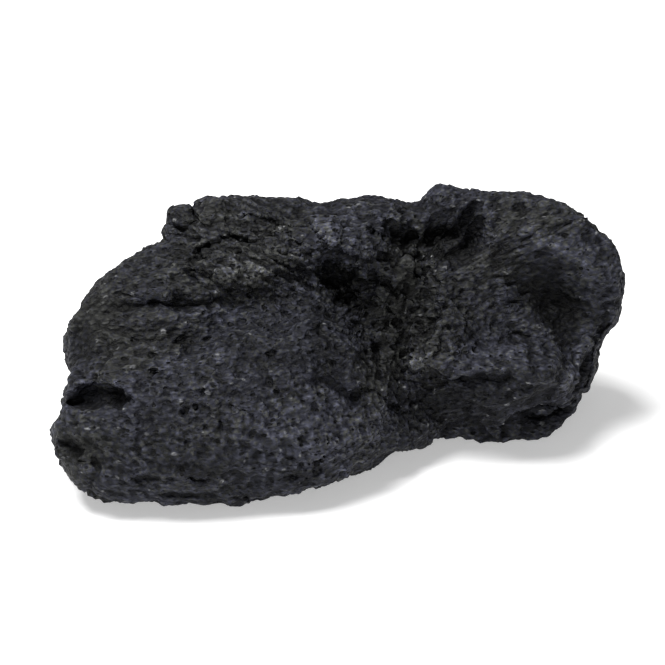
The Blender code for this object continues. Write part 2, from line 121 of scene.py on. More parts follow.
# Hollows on the sheet: centre, half sizes, turn in degrees, share of the size that is slope, depth.
# A swell has a depth below zero.
HOLLOWS = {
    "valley": ((34.5, 3.5), (27, 50), -4, 1, 10),
    "valley head": ((40.5, 42.5), (27, 17.5), 0, 1, 4),
    "cave": ((8, 17), (25, 14), -42, 0.8, 12),
    "cave left hole": ((0, 25.5), (9, 6), 0, 0.6, 9),
    "cave middle hole": ((6.5, 16), (7, 5.5), 0, 0.6, 9),
    "cave lower hole": ((13.5, 9.5), (5, 3.2), -40, 0.6, 5),
    "cave foot hole": ((7, 4), (5, 2.8), -20, 0.6, 4),
    "cave right hole": ((17.5, 25), (6.5, 4.5), -20, 0.6, 7),
    "notch": ((28, 40), (16, 9.5), -8, 0.7, 7),
    "notch left hole": ((20.5, 42), (6, 3.6), -25, 0.7, 4),
    "notch right hole": ((32, 41), (6.5, 5.5), 0, 0.8, 6),
    "notch lower hole": ((35, 34), (7.5, 2.6), 10, 0.6, 4),
    "ribbed hollow": ((54, 42), (18, 15.5), 28, 0.65, 11),
    "ribbed hollow's hole": ((50, 43), (9, 5), 5, 0.8, 5),
    "ribbed hollow's top slit": ((60.5, 54), (6, 3.4), 50, 0.8, 5),
    "ribbed hollow's low slit": ((55, 40.5), (7, 2.6), 45, 0.8, 4),
    "ribbed hollow's right slit": ((63, 40.5), (6.5, 3), 40, 0.8, 5),
    "valley cross crack": ((35.5, 26.5), (6, 2.8), -35, 0.6, 4),
    "valley pit": ((30.5, 4.5), (4, 2.8), -30, 0.6, 3),
    "valley low pit": ((17, -4), (3, 5), -10, 0.6, 3),
    "scoop": ((97, 13.5), (28, 14), -22, 1, 11),
    "scoop pit": ((78.5, 12.5), (4.2, 2.6), 10, 0.6, 4),
    "under the shelf": ((54, -32), (38, 12), 0, 1, 5),
    "under the block": ((93, -31), (20, 8), 14, 0.8, 9),
    "trough over the foot": ((-75, 12.5), (31, 6), 5, 1, 7),
    "foot's left hollow": ((-115, -50), (6, 4.5), 0, 0.8, 6),
    "foot's low hollow": ((-104.5, -58), (5, 2.5), -20, 0.8, 3),
    "belly's swell": ((2, -60), (40, 34), 0, 1, -7),
    "brow": ((-39, 20.5), (17, 12), -4, 1, -6),
    "plate": ((-45, 46.5), (13, 5), 0, 1, -2.5),
}

# Scarps on the sheet: route, height of its left side, how far that side reaches, width of the drop
SCARPS = {
    "slab": (((-10, 50), (-4.5, 41), (5, 34.5), (18, 32.5), (30.5, 34)), 10, 15, 1.5),
    "belly crest": (((31.5, -30.5), (18.5, -23), (10, -7.5), (2.5, 4.5), (-12.5, 14)), 7, 30, 4),
    "belly roll": (((13, -28.5), (6, -14.5), (-3.5, -1.5), (-16, 10.5)), 2.5, 14, 3),
    "fold 1": (((-66, 29), (-61, 28), (-54, 25.5), (-48.5, 21.5), (-44.5, 17)), 6, 11, 1),
    "fold 2": (((-84, 17.5), (-74, 14.5), (-65, 13.5), (-56, 14.5), (-50, 17)), 2, 9, 1.5),
    "fold 3": (((-62, 37), (-52, 38.5), (-45, 40.5), (-38, 38.5), (-19, 42), (-8, 39)), 3.5, 10, 1),
    "fold 4": (((-58, 51), (-46, 49), (-34, 50), (-22, 46), (-10, 47)), 3, 9, 1),
    "fold 5": (((-30, 35.5), (-22, 34), (-14, 32), (-6, 31.5)), 3, 9, 1),
    "shelf edge": (((31, -12), (38, -15), (52, -17), (70, -17.5), (88, -20.5), (103, -24)), 10, 16, 6),
    "overhang": (((69, -43), (74, -38), (81, -34.5), (88, -31), (98, -30), (107, -28)), 9, 20, 1),
    "right wall": (((118, 9), (115, 0), (112.5, -9), (109, -18), (105, -26)), -7, 14, 1.5),
    "valley's right wall": (((51, 10), (45, 3.5), (40, -2), (38, -6.5), (35.5, -11), (31, -18)), 5, 18, 2),
    "valley foot": (((34, -37), (25, -31), (14.5, -25), (7.5, -28.5)), 2.5, 10, 1),
    "right ridge": (((79, 47), (90, 41), (99, 36), (109.5, 28), (118.5, 20), (122, 13)), 5, 26, 9),
}

# Creases on the sheet: route, half width, depth. A ridge has a depth below zero.
CREASES = {
    "valley foot crack": (((7, -29.5), (10, -27), (14.5, -25), (20.5, -28), (33, -36.5)), 1.3, 5),
    "foot crack": (((-45.5, -32.5), (-40.5, -34), (-34, -35)), 1, 3),
    "groove": (((-8.5, -19), (-1, -24), (7.5, -28.5)), 2, 2.5),
    "fold crack 1": (((-62, 27.5), (-57, 27), (-52.5, 25), (-48.5, 21.5), (-45, 17.5)), 1.2, 4),
    "fold crack 2": (((-81, 16.5), (-74, 14.5), (-65, 13.5), (-57, 14.5)), 1.2, 2),
    "fold crack 3": (((-60, 36.5), (-52, 38), (-46.5, 39.5), (-40, 39.5), (-34, 38)), 1.4, 3.5),
    "fold crack 4": (((-29, 40), (-25, 42.5), (-18.5, 42.5)), 1.2, 3),
    "gap under the overhang": (((80, -35), (86, -31.5), (98, -30.5), (107, -28.5)), 1.3, 6),
    "slab ridge": (((-8.5, 51), (-5, 45.5), (-1, 41), (2.5, 37.5)), 3, -3),
    "between the horns": (((-61.5, 59), (-62, 52), (-59, 47)), 1.4, 6),
    "under the horn": (((-73, 47), (-67, 45.5), (-60, 46)), 1.6, 4),
    "lip": (((17, 52.5), (25, 51), (33, 47.5)), 2.5, -3.5),
    "rib 1": (((45, 37.5), (52, 46.5), (56.5, 56)), 1.3, -4),
    "rib 2": (((51, 35), (58, 43), (63.5, 52.5)), 1.3, -4),
}

SLOT_MIDDLE = (-102, -28.5)  # the lens-shaped gas hole at the left end
SLOT_HALF = (15, 8.5)
SLOT_DEPTH = 10
FOLDS_MIDDLE = (-38, 36)  # the ropy ground on the upper left
FOLDS_HALF = (50, 27)
FOLD_SPACING = 6.4
FOLD_LEFT = -75.0  # where the folds start; they dip more and more to the right of it
FOLD_DIP = 0.12
FOLD_BEND = 0.0034
VALLEY_MIDDLE = (27, 15)  # the clinker in the valley
VALLEY_HALF = (37, 49)
WOBBLE = 1.8  # how far the marks' places are bent
WOBBLE_SIZE = 11
FRONT_EDGE = 0.35  # the marks of the front reach full strength where the skin faces the eye by this cosine
DEEP = 18  # a hollow this deep is darkest

# Pits too small for the solid, on the sheet: centre, half sizes, turn in degrees, depth
SMALL_PITS = {
    "under the trough 1": ((-65.5, -3), (4, 1.6), 30, 3),
    "under the trough 2": ((-56, -3.5), (2.8, 1.3), 25, 3),
    "under the trough 3": ((-79, -10), (1.8, 1.8), -40, 2.5),
    "under the trough 4": ((-78, -18), (3, 1.4), -15, 3),
    "foot 1": ((-66, -35.5), (1.8, 1.2), -20, 2.5),
    "foot 2": ((-58.5, -32.5), (2, 1.2), -20, 2.5),
    "foot 3": ((-26.5, -9), (2.6, 1.2), -10, 2.5),
    "foot 4": ((-23.5, -25.5), (1.8, 1.2), -10, 2.5),
    "foot's end 1": ((-110.5, -55), (3.5, 1.4), -10, 2.5),
    "foot's end 2": ((-105, -55.5), (1.6, 1.2), 0, 2),
    "belly's foot 1": ((-16.5, -62.5), (3.5, 2.2), -20, 3),
    "belly's foot 2": ((-38.5, -70.5), (3, 1.4), -10, 3),
    "folds 1": ((-43, 41), (4, 2.2), -15, 3.5),
    "folds 2": ((-56, 36.5), (4.5, 1.8), 0, 3),
    "folds 3": ((-61, 33), (2.2, 2), 0, 3),
    "folds 4": ((-45, 17), (2.4, 2), 0, 3),
    "folds 5": ((-35, 17), (2.8, 2.2), 0, 3.5),
    "folds 6": ((-10, 48), (3, 2), 10, 2.5),
    "block's top 1": ((72, 56), (3, 1.6), -10, 2),
    "block's top 2": ((103, 46.5), (2.5, 2), -40, 2.5),
    "block's top 3": ((88, 45), (3, 2), 20, 2),
    "block's face 1": ((76, 8), (1.8, 1.2), -30, 2.5),
    "block's face 2": ((82.5, -1), (3, 1.6), -10, 2.5),
    "shelf 1": ((44, -20), (1.8, 1.2), 10, 2.5),
    "shelf 2": ((54, -19), (2.6, 1.6), 15, 3),
    "shelf 3": ((36, -17), (1.6, 1.4), 0, 2.5),
}

# Creases too fine for the solid: route, half width, depth
FINE_CREASES = {
    "foot fold 1": (((-89, -66), (-83, -64.5), (-76, -64)), 1, 2.5),
    "foot fold 2": (((-64, -62), (-59, -64.5), (-53, -65)), 1, 3),
    "foot fold 3": (((-75, -70), (-62, -72.5), (-50, -72)), 1, 2),
    "foot nick": (((-48.5, -37.5), (-47.5, -42)), 0.7, 2),
    "fold crack 5": (((-62, 25), (-56, 20), (-50, 18.5)), 0.8, 2.5),
    "fold crack 6": (((-96, 18), (-88, 16), (-82, 16.5)), 0.9, 2.5),
    "fold crack 7": (((-22, 30), (-12, 27), (-5, 27.5)), 0.9, 3),
    "fold crack 8": (((-27, 24), (-17, 22), (-8, 18)), 0.9, 3),
    "fold crack 9": (((-54, 33), (-44, 33.5), (-38, 35)), 0.8, 2),
    "fold crack 10": (((-24, 36), (-14, 34.5), (-7, 36)), 0.8, 2.5),
    "valley streak 1": (((19, 20), (25, 12), (30, 8)), 0.9, 2.5),
    "valley streak 2": (((23, 24), (29, 17), (35, 13)), 0.9, 2.5),
    "valley streak 3": (((12, 4), (18, -6), (21, -16)), 0.9, 2.5),
    "valley streak 4": (((33, 28), (41, 20)), 0.9, 3),
    "scoop's rim": (((72, 25), (79, 20), (84, 17)), 1, 2),
    "block's top crack": (((93, 36), (100, 35.5), (106, 33)), 0.6, 1.2),
    "horn crack": (((-74, 41), (-66, 42.5), (-57, 41)), 0.9, 2.5),
}

# Brown-grey weathered ground on the sheet: centre, half sizes, turn in degrees, share that fades, amount
WEATHERED = {
    "valley": ((36, 10), (34, 56), -4, 0.8, 0.9),
    "left shoulder": ((-103, 6), (26, 28), 40, 0.9, 0.9),
    "brow": ((-50, 28), (54, 22), 8, 0.8, 0.8),
    "under the left shoulder": ((-84, -4), (34, 18), 15, 0.8, 0.75),
    "folds": ((-40, 47), (46, 18), 0, 0.9, 0.75),
    "foot's end": ((-112, -56), (24, 20), 30, 0.9, 0.8),
    "block top": ((86, 48), (40, 16), -8, 0.9, 0.7),
    "block face": ((72, 30), (26, 18), 0, 0.9, 0.7),
    "notch and ribs": ((44, 44), (28, 15), 5, 0.8, 0.7),
    "scoop": ((96, 13), (26, 13), -16, 0.8, 0.45),
    "cave": ((6, 18), (24, 16), -40, 0.8, 0.5),
    "valley's foot": ((22, -16), (17, 20), 10, 0.8, 0.85),
    "slab's left": ((-18, 52), (15, 8), 0, 0.9, 0.6),
    "belly's crease": ((-4, -22), (10, 12), 0, 0.9, 0.5),
}

# Painted light and shade on the sheet, with some of the stone's own paler and darker ground: centre, half
# sizes, turn in degrees, share that fades, change
PAINTED_LIGHT_AND_TONES = {
    # slab, lip and notch
    "slab": ((6, 43), (15, 11), -50, 0.8, 0.45),
    "slab's left edge": ((-5, 45), (15, 3.6), -53, 0.6, 1.2),
    "slab's top": ((7, 53), (17, 6), 0, 0.8, 0.7),
    "lip": ((27, 49.5), (8, 3), -15, 0.9, 1.5),
    "notch": ((28, 42), (14, 8), -8, 0.6, -0.3),
    "left of the notch": ((20, 42.5), (5, 5), 0, 0.9, -0.5),
    "between the notch and the ribs": ((40.5, 41), (4, 6), 0, 0.8, 1.7),
    # ribbed hollow and cave
    "ribs": ((53, 39), (17, 14), 20, 0.5, -0.6),
    "ribs' top": ((51, 54), (12, 5), 10, 0.9, -0.5),
    "under the ribs": ((45.5, 25), (5, 10), 10, 0.9, -0.45),
    "cave's right wall": ((15.5, 17), (6, 6), 0, 0.9, 1.0),
    # plates and brow
    "plate": ((-45, 49.5), (12, 4), 0, 0.8, 0.8),
    "plates' top": ((-24, 54), (7, 4), 0, 0.9, -0.5),
    "plates' left top": ((-53, 55), (7, 4), 0, 0.9, -0.5),
    "plates' end": ((-28, 18), (14, 4), -15, 0.9, -0.3),
    "right of the plates": ((-16, 39), (10, 4), -10, 0.9, 0.6),
    "between the plates": ((-57, 34.5), (20, 5), -2, 0.9, -0.66),
    "behind the plate": ((-29, 46), (12, 5), 20, 0.8, -0.72),
    "horn": ((-67, 50), (7, 6), 0, 0.9, -0.5),
    "brow": ((-37, 26), (15, 6), -4, 0.7, 1.8),
    "under the brow": ((-43, 8.5), (13, 6), 6, 0.8, 1.7),
    # left shoulder and trough
    "left shoulder": ((-108, -4), (16, 14), 60, 0.9, -0.4),
    "shoulder's top": ((-63, 26.5), (16, 4.5), -8, 0.9, 0.6),
    "shoulder's dark patch": ((-85, 20), (13, 4.5), 12, 0.9, -0.35),
    "trough": ((-77, 11.5), (31, 5), 7, 0.6, -0.45),
    "trough's right end": ((-56, 15), (7, 5), 0, 0.9, -0.6),
    "trough's lump": ((-67, 12.5), (5.5, 3.5), 0, 0.8, 1.1),
    "under the trough": ((-78, 2), (12, 5), 20, 0.9, -0.3),
    # foot
    "foot's top": ((-66, -12.5), (12, 5.5), 10, 0.9, 1.2),
    "beside the foot's top": ((-53, -12), (9, 8), 0, 0.9, 0.7),
    "foot's middle": ((-61, -27), (5, 6), 0, 0.9, 0.9),
    "foot's lump": ((-85, -58), (8, 5), 20, 0.9, 0.5),
    "foot's low lump": ((-75, -67), (8, 4.5), 20, 0.9, 1.0),
    "foot's dark patch": ((-65, -3.5), (11, 6), 0, 0.9, -0.55),
    "foot's upper dark patch": ((-48, -4), (10, 4.5), 0, 0.9, -0.45),
    "foot's small patch": ((-46, 5.5), (4.5, 4), 0, 0.8, 1.3),
    "foot's left edge": ((-112, -14), (7, 6), 0, 0.9, -0.4),
    "foot's end": ((-114, -52), (11, 9), 0, 0.9, -0.45),
    "foot's bottom": ((-55, -60), (24, 6), -8, 0.8, -0.6),
    "foot's left bottom": ((-101, -68), (8, 4), -15, 0.9, -0.6),
    "foot's right bottom": ((6, -60), (12, 4.5), 22, 0.9, 0.5),
    "foot's lowest patch": ((-40, -70), (7, 3.5), 0, 0.9, -0.5),
    "foot's low streak": ((-42.5, -62.5), (7, 3.2), 30, 0.8, 1.2),
    "foot's right patch": ((-36, -50), (9, 9), 0, 0.9, 0.4),
    "foot's right end": ((25, -33), (8, 6), 0, 0.8, 1.4),
    "slot": ((-102, -30), (15, 5), 0, 0.4, -0.4),
    "slot's arch": ((-99, -24), (13, 3), -6, 0.8, 2.0),
    # belly and valley
    "lower belly": ((-4, -42), (42, 24), 0, 0.6, 0.9),
    "belly's foot": ((-14, -62.5), (10, 6), 0, 0.6, -0.65),
    "belly's crest": ((-20, -11), (34, 9), 0, 1, -0.4),
    "crest's dark end": ((-4, 10), (12, 5), -42, 0.9, -0.6),
    "belly's crease": ((-3, -6), (25, 7), -68, 0.8, -0.55),
    "belly's low dark patch": ((-17, -53), (6, 5), 0, 0.9, -0.45),
    "belly's right dark patch": ((12, -54), (8, 5), 0, 0.9, -0.4),
    "valley": ((15, 0), (13, 24), 20, 0.9, -0.3),
    "valley's foot": ((20, -25), (5, 4), 0, 0.9, -0.45),
    # shelf
    "shelf": ((64, -10.5), (36, 8), -2, 0.8, 0.9),
    "shelf's nose": ((37, -13.5), (9, 9), 0, 0.7, 1.6),
    "under the shelf": ((56, -31), (46, 13), 3, 0.5, -0.5),
    "foot of the shelf": ((60, -43), (12, 4), 0, 0.9, 0.5),
    # right block
    "block's left face": ((55.5, 28.5), (7, 5), 0, 0.9, 0.9),
    "foot of the block's left face": ((54, 18), (11, 4.5), -10, 0.9, -0.4),
    "block's dent": ((86, 42), (8, 3.5), -15, 0.9, -0.45),
    "block's top dent": ((93, 50), (7, 4.5), -10, 0.9, -0.45),
    "block's top left dent": ((77, 55), (6, 4), 0, 0.9, -0.4),
    "block's low edge": ((85, -18), (8, 4), 0, 0.9, -0.55),
    "block's pale edge": ((80, -35), (10, 2), 29, 0.8, 1.0),
    "gap under the block": ((95, -36), (15, 8), 14, 0.5, -0.45),
    "under the block": ((88, -44), (18, 4), 10, 0.9, 0.4),
    "scoop": ((99, 13), (27, 12), -16, 0.8, -0.45),
    "scoop's low wall": ((87, 5), (11, 6), -50, 0.9, -0.55),
    # right end
    "right ridge": ((100, 35), (27, 6.5), -38, 0.7, 1.4),
    "right ridge's foot": ((93, 29), (8, 5), -40, 0.9, 1.1),
    "right end": ((124, 27), (6, 12), 0, 0.9, 0.6),
    "right wall": ((106, -9), (5, 16), -14, 0.7, 1.2),
    "right wall's low edge": ((102.5, -21), (2.5, 7), -22, 0.8, 1.6),
    "right side's foot": ((112, -18), (5, 8), 0, 0.9, -0.5),
}

# Relief of the skin, finer than the solid's
LUMPS = ((4, 0.33, 13, 34.6), (3.2, 0.6, 23, 0))  # size, height, seed, shift
FINE_CHIPS = ((8, 0.6, 1.8, 81), (4, 0.5, 0.8, 91))  # size, height, more height in the valley, seed
FINE_PLATES = (3.6, 1.6, 37)  # spacing, height, seed
BOWLS = ((6.5, 41, 0.35, 0.32, 1.6), (3.4, 51, 0.5, 0.36, 1.0))  # cell, seed, share, radius in cells, depth

# Finish
COOL_SKIN = (0.0170, 0.0177, 0.0244)  # blue-grey glassy skin
WARM_SKIN = (0.0176, 0.0179, 0.0167)  # brown-grey weathered ground
# painted shade in the bubble pits, which are only bumps
BUBBLE_PIT_SHADE = (0.0040, 0.0040, 0.0044)
PALE_GRAIN_AND_GLINT = (0.1900, 0.1920, 0.1960)  # pale broken grains, partly painted glints of light caught on them
ROUGHNESS = 0.6
GLOSS = 0.08
BEND_SIZE = 4.0  # the grain is bent by noise of this size
BEND = 1.5
FLOW_TURN = (0, 0.3, 0.2)  # the way the lava flowed, in radians
FLOW_STRETCH = (0.7, 1, 1.2)
GRAINS_ASIDE = (50, 20, 10)  # keeps the grains clear of the bubbles' pattern
LARGE_BUBBLES = (4.4, 0.6, 1.05)  # spacing, share of the cells, radius
SMALL_BUBBLES = (2.1, 0.65, 0.66)
PALE_GRAINS = (3.4, 0.3, 1.15)
PACKED_GRAINS = 2.3  # spacing
COARSE_GRIT = 3.6
FINE_GRIT = 1.7
FLECKS = 1.5
PATCHES = 22.0
LARGE_BUBBLE_HEIGHT = -0.9
SMALL_BUBBLE_HEIGHT = -0.5
PALE_GRAIN_HEIGHT = 0.3
PACKED_GRAIN_HEIGHT = 0.9
COARSE_GRIT_HEIGHT = 1.6
FINE_GRIT_HEIGHT = 0.7

# Studio, in metres and watts
FLOOR_SIZE = 8.0
FLOOR_PALE = (0.88, 0.88, 0.88)
FLOOR_GLOW = 0.35  # a lit table, so that shadows stay pale
WORLD_LIGHT = 0.2
SOFTBOXES = {  # place, size, power
    "overhead softbox": ((-0.35, -0.1, 1.1), 0.6, 24),
    "front softbox": ((-0.1, -1.3, 0.3), 0.8, 7),
}
LIT_POINT = (0, 0, 0.05)
CAMERA_LENS = 100
CAMERA_SENSOR = 36


def smooth(t):
    """An S curve from 0 to 1."""
    t = np.clip(t, 0, 1)
    return t * t * (3 - 2 * t)


def lattice(cell, seed):
    """A fixed number from 0 to 1 for each whole-numbered cell."""
    n = (cell[:, 0] * 73856093) ^ (cell[:, 1] * 19349663) ^ (cell[:, 2] * 83492791) ^ (seed * 2654435761)
    n = n & 0xFFFFFFFF
    for _ in range(2):
        n = ((n ^ (n >> 16)) * 0x45D9F3B) & 0xFFFFFFFF
    return (n ^ (n >> 16)) / 0xFFFFFFFF


def noise(p, size, seed):
    """Smooth lumps from -1 to 1, about size across."""
    q = p / size
    cell = np.floor(q).astype(np.int64)
    f = q - cell
    f = f * f * f * (f * (f * 6 - 15) + 10)
    total = np.zeros(len(p))
    for corner in np.ndindex(2, 2, 2):
        weight = np.prod(np.where(corner, f, 1 - f), axis=1)
        total += weight * lattice(cell + np.array(corner), seed)
    return total * 2 - 1


def layered_noise(p, size, layers, seed):
    """Noise with finer, lower noise on top of it."""
    return sum(noise(p + 17.3 * k, size / 2**k, seed + k) / 2**k for k in range(layers))


def chips(p, size, seed):
    """Flat, tilted ground broken at sharp edges: each cell's own point carries a small plane."""
    q = p / size
    cell = np.floor(q).astype(np.int64)
    nearest = np.full(len(p), 1e9)
    height = np.zeros(len(p))
    for step in np.ndindex(3, 3, 3):
        c = cell + np.array(step) - 1
        offset = q - c - np.stack([lattice(c, seed + k) for k in range(3)], 1)
        far = (offset * offset).sum(1)
        tilt = np.stack([lattice(c, seed + 3 + k) for k in range(3)], 1) - 0.5
        plane = 2 * (offset * tilt).sum(1) + (lattice(c, seed + 9) - 0.5) / 2
        height = np.where(far < nearest, plane, height)
        nearest = np.minimum(far, nearest)
    return height


def turned(p, centre, turn):
    """Points in the axes of a mass: yaw about Z, then pitch about Y, then roll about X."""
    x, y, z = (p - np.array(centre)).T
    yaw, pitch, roll = np.radians(turn)
    x, y = np.cos(yaw) * x + np.sin(yaw) * y, np.cos(yaw) * y - np.sin(yaw) * x
    x, z = np.cos(pitch) * x + np.sin(pitch) * z, np.cos(pitch) * z - np.sin(pitch) * x
    y, z = np.cos(roll) * y + np.sin(roll) * z, np.cos(roll) * z - np.sin(roll) * y
    return np.stack([x, y, z], 1)


def mass(p, centre, half, turn, corner):
    """Distance to an oval or to a block with round corners, below zero inside."""
    q = turned(p, centre, turn)
    half = np.array(half, float)
    if corner:
        d = np.abs(q) - (half - corner)
        return np.linalg.norm(np.maximum(d, 0), axis=1) + np.minimum(d.max(1), 0) - corner
    near = np.linalg.norm(q / half, axis=1)
    return near * (near - 1) / np.maximum(np.linalg.norm(q / half**2, axis=1), 1e-9)


def soft_min(a, b, blend):
    """The smaller of two distances, with the crease between them filled over blend."""
    h = np.clip(0.5 + 0.5 * (b - a) / blend, 0, 1)
    return b * (1 - h) + a * h - blend * h * (1 - h)


def soft_max(a, b, blend):
    """The larger of two distances, with the edge between them rounded over blend."""
    return -soft_min(-a, -b, blend)


def on_sheet(p):
    """Where the line of sight through each point crosses the sheet."""
    d = p - EYE
    scale = VIEW_DISTANCE / -(d @ TOWARDS_EYE)
    return (d @ SHEET_RIGHT) * scale, (d @ SHEET_UP) * scale


def past_outline(u, v):
    """Distance outside the outline, measured from its middle."""
    points = np.array(OUTLINE) - OUTLINE_MIDDLE
    angle = np.arctan2(points[:, 1], points[:, 0])
    order = np.argsort(angle)
    radius = np.hypot(*points.T)[order]
    a, b = u - OUTLINE_MIDDLE[0], v - OUTLINE_MIDDLE[1]
    return np.hypot(a, b) - np.interp(np.arctan2(b, a), angle[order], radius, period=2 * np.pi)


def field(p):
    """Distance to the smooth stone, below zero inside."""
    d = None
    for centre, half, turn, corner, blend in MASSES.values():
        one = mass(p, centre, half, turn, corner)
        d = one if d is None else soft_min(d, one, blend)
    for centre, half, turn, rounding in BITES.values():
        d = soft_max(d, -mass(p, centre, half, turn, 0), rounding)
    for point, faces, rounding in FLATS.values():
        faces = np.array(faces) / np.linalg.norm(faces)
        d = soft_max(d, (p - np.array(point)) @ faces, rounding)
    d = soft_max(d, 0.9 * past_outline(*on_sheet(p)), OUTLINE_ROUNDING)
    return soft_max(d, WORN_BASE - p[:, 2], BASE_ROUNDING)


def first_skin(directions, steps=30, halvings=12):
    """Each direction's outermost point on the skin: inward in steps, then by halving the last step."""
    ray = directions * REACH
    outer = np.full(len(ray), 1.6)
    inner = outer - 1.6 / steps
    for _ in range(steps):
        outside = field(HEART + ray * inner[:, None]) > 0
        outer = np.where(outside, inner, outer)
        inner = np.where(outside, inner - 1.6 / steps, inner)
    for _ in range(halvings):
        middle = (outer + inner) / 2
        outside = field(HEART + ray * middle[:, None]) > 0
        outer = np.where(outside, middle, outer)
        inner = np.where(outside, inner, middle)
    return HEART + ray * outer[:, None]


def gathered(index, values, count):
    """Sums of the values that go to each point."""
    return np.stack([np.bincount(index, column, count) for column in values.T], 1)


def normals(p, quads):
    """Outward unit normals at the points of a quad mesh."""
    a, b, c, d = (p[quads[:, k]] for k in range(4))
    face = np.cross(c - a, d - b)
    total = sum(gathered(quads[:, k], face, len(p)) for k in range(4))
    return total / np.maximum(np.linalg.norm(total, axis=1), 1e-9)[:, None]


def relaxed(p, quads, rounds=20):
    """Evens out the spacing: each point goes towards the middle of its neighbours, then back to the skin."""
    count = 2 * np.bincount(quads.ravel(), minlength=len(p))[:, None]
    for _ in range(rounds):
        near = sum(
            gathered(quads[:, k], p[quads[:, (k + 1) % 4]] + p[quads[:, k - 1]], len(p)) for k in range(4)
        )
        p = p + 0.7 * (near / count - p)
        p = p - normals(p, quads) * np.clip(field(p), -2, 2)[:, None]
    return p


def faces_eye(p, quads):
    """1 where the skin faces the eye, and 0 where it turns away."""
    return smooth(normals(p, quads) @ TOWARDS_EYE / FRONT_EDGE)


def spot(u, v, middle, half, turn, slope):
    """1 inside an oval on the sheet and 0 outside it, with the slope taking a share of its size."""
    a, b = u - middle[0], v - middle[1]
    turn = np.radians(turn)
    across = (np.cos(turn) * a + np.sin(turn) * b) / half[0]
    up = (np.cos(turn) * b - np.sin(turn) * a) / half[1]
    return smooth((1 - np.hypot(across, up)) / slope)


def beside(u, v, route):
    """Distance from a route, above zero on its left, and how far along it each point lies (0 to 1)."""
    route = np.array(route, float)
    length = np.linalg.norm(np.diff(route, axis=0), axis=1)
    start = np.concatenate([[0], np.cumsum(length)])
    nearest, away, along = (np.full(u.shape, value) for value in (1e9, 0.0, 0.0))
    for k, (first, last) in enumerate(zip(route[:-1], route[1:])):
        d = (last - first) / length[k]
        a, b = u - first[0], v - first[1]
        t = a * d[0] + b * d[1]
        held = np.clip(t, 0, length[k])
        far = np.hypot(a - held * d[0], b - held * d[1])
        closer = far < nearest
        away = np.where(closer, np.sign(d[0] * b - d[1] * a) * far, away)
        along = np.where(closer, (start[k] + t) / start[-1], along)
        nearest = np.minimum(far, nearest)
    return away, along


def slot(u, v):
    """The gas hole: a lens with an arched top and a nearly straight lower edge."""
    a, b = (u - SLOT_MIDDLE[0]) / SLOT_HALF[0], (v - SLOT_MIDDLE[1]) / SLOT_HALF[1]
    arch = 1 - a * a
    return smooth(3 * arch) * smooth((0.95 * arch - b) / 0.4) * smooth((b + 0.6) / 0.4)


def wobbled(u, v):
    """Places on the sheet, bent so that no mark keeps a straight edge."""
    flat = np.stack([u, v, np.zeros_like(u)], 1)
    return tuple(
        at + WOBBLE * layered_noise(flat, WOBBLE_SIZE, 3, seed) for at, seed in ((u, 5), (v, 8))
    )


def hollowed(u, v):
    """Depth of the hollows alone."""
    return sum(deep * spot(u, v, *shape) for *shape, deep in HOLLOWS.values())


def creased(u, v, creases):
    """Depth of creases: f = depth exp(-(distance / half width)^2) along each route, fading at its ends."""
    depth = 0
    for route, half, deep in creases.values():
        away, along = beside(u, v, route)
        ends = smooth(np.minimum(along, 1 - along) / 0.12 + 0.3)
        depth += deep * ends * np.exp(-((away / half) ** 2))
    return depth


def sunk(p):
    """How deep each point of the front goes, away from the eye: hollows, less the raised sides of the
    scarps, each high at its edge and dying away as exp(-distance / reach), and creases."""
    u, v = on_sheet(p)
    depth = SLOT_DEPTH * slot(u, v)
    u, v = wobbled(u, v)
    depth += hollowed(u, v)
    for route, high, reach, drop in SCARPS.values():
        away, along = beside(u, v, route)
        ends = smooth(np.minimum(along, 1 - along) / 0.18 + 0.15)
        depth -= high * ends * smooth(away / drop + 0.5) * np.exp(-np.maximum(away, 0) / reach)
    return depth + creased(u, v, CREASES)


def plates(u, v, p, spacing, seed):
    """Stacked, broken plates that dip to the right: a saw-tooth, each tooth overhanging on its lower side."""
    past = u - FOLD_LEFT
    across = v + FOLD_DIP * past + FOLD_BEND * past * np.abs(past)
    q = np.stack([u / 3, across, p[:, 1] / 2], 1)
    phase = across / spacing + 0.7 * noise(q, 8, seed) + 0.3 * noise(p, 6, seed + 1)
    tooth = 1 - phase + np.floor(phase)
    return tooth**0.8 * (1 - smooth((tooth - 0.86) / 0.14)) - 0.4


def grounds(u, v, facing):
    """1 on the ropy ground, and 1 on the valley's clinker."""
    ropy = facing * spot(u, v, FOLDS_MIDDLE, FOLDS_HALF, -12, 0.5)
    valley = facing * spot(u, v, VALLEY_MIDDLE, VALLEY_HALF, 0, 0.6)
    return ropy, valley


def raised(p, quads):
    """Heights along the normals: chips, lumps, clinker in the valley and the ropy folds."""
    u, v = on_sheet(p)
    ropy, valley = grounds(u, v, faces_eye(p, quads))
    rough = 0.35 + 0.5 * smooth(noise(p, 40, 77) + 0.3) + 0.5 * valley
    height = 1.5 * chips(p, 22, 3) + 1.3 * layered_noise(p, 16, 2, 11)
    height += 2.2 * rough * (0.5 - np.abs(noise(p, 7, 21)))
    return height + 2.0 * ropy * plates(u, v, p, FOLD_SPACING, 31)


def bubbles(p, size, seed, share, radius):
    """Round bowls, 1 in the middle and 0 outside: f = max(0, 1 - (r / R)^2) about a point in some cells of a
    lattice, size across, where R is 0.6 to 1.4 times the radius and share of the cells hold one."""
    q = p / size
    cell = np.floor(q).astype(np.int64)
    deepest = np.zeros(len(p))
    for step in np.ndindex(3, 3, 3):
        c = cell + np.array(step) - 1
        middle = c + 0.15 + 0.7 * np.stack([lattice(c, seed + k) for k in range(3)], 1)
        far = np.linalg.norm(q - middle, axis=1)
        wide = radius * (0.6 + 0.8 * lattice(c, seed + 4))
        held = lattice(c, seed + 5) < share
        deepest = np.maximum(deepest, held * np.clip(1 - (far / wide) ** 2, 0, 1))
    return deepest


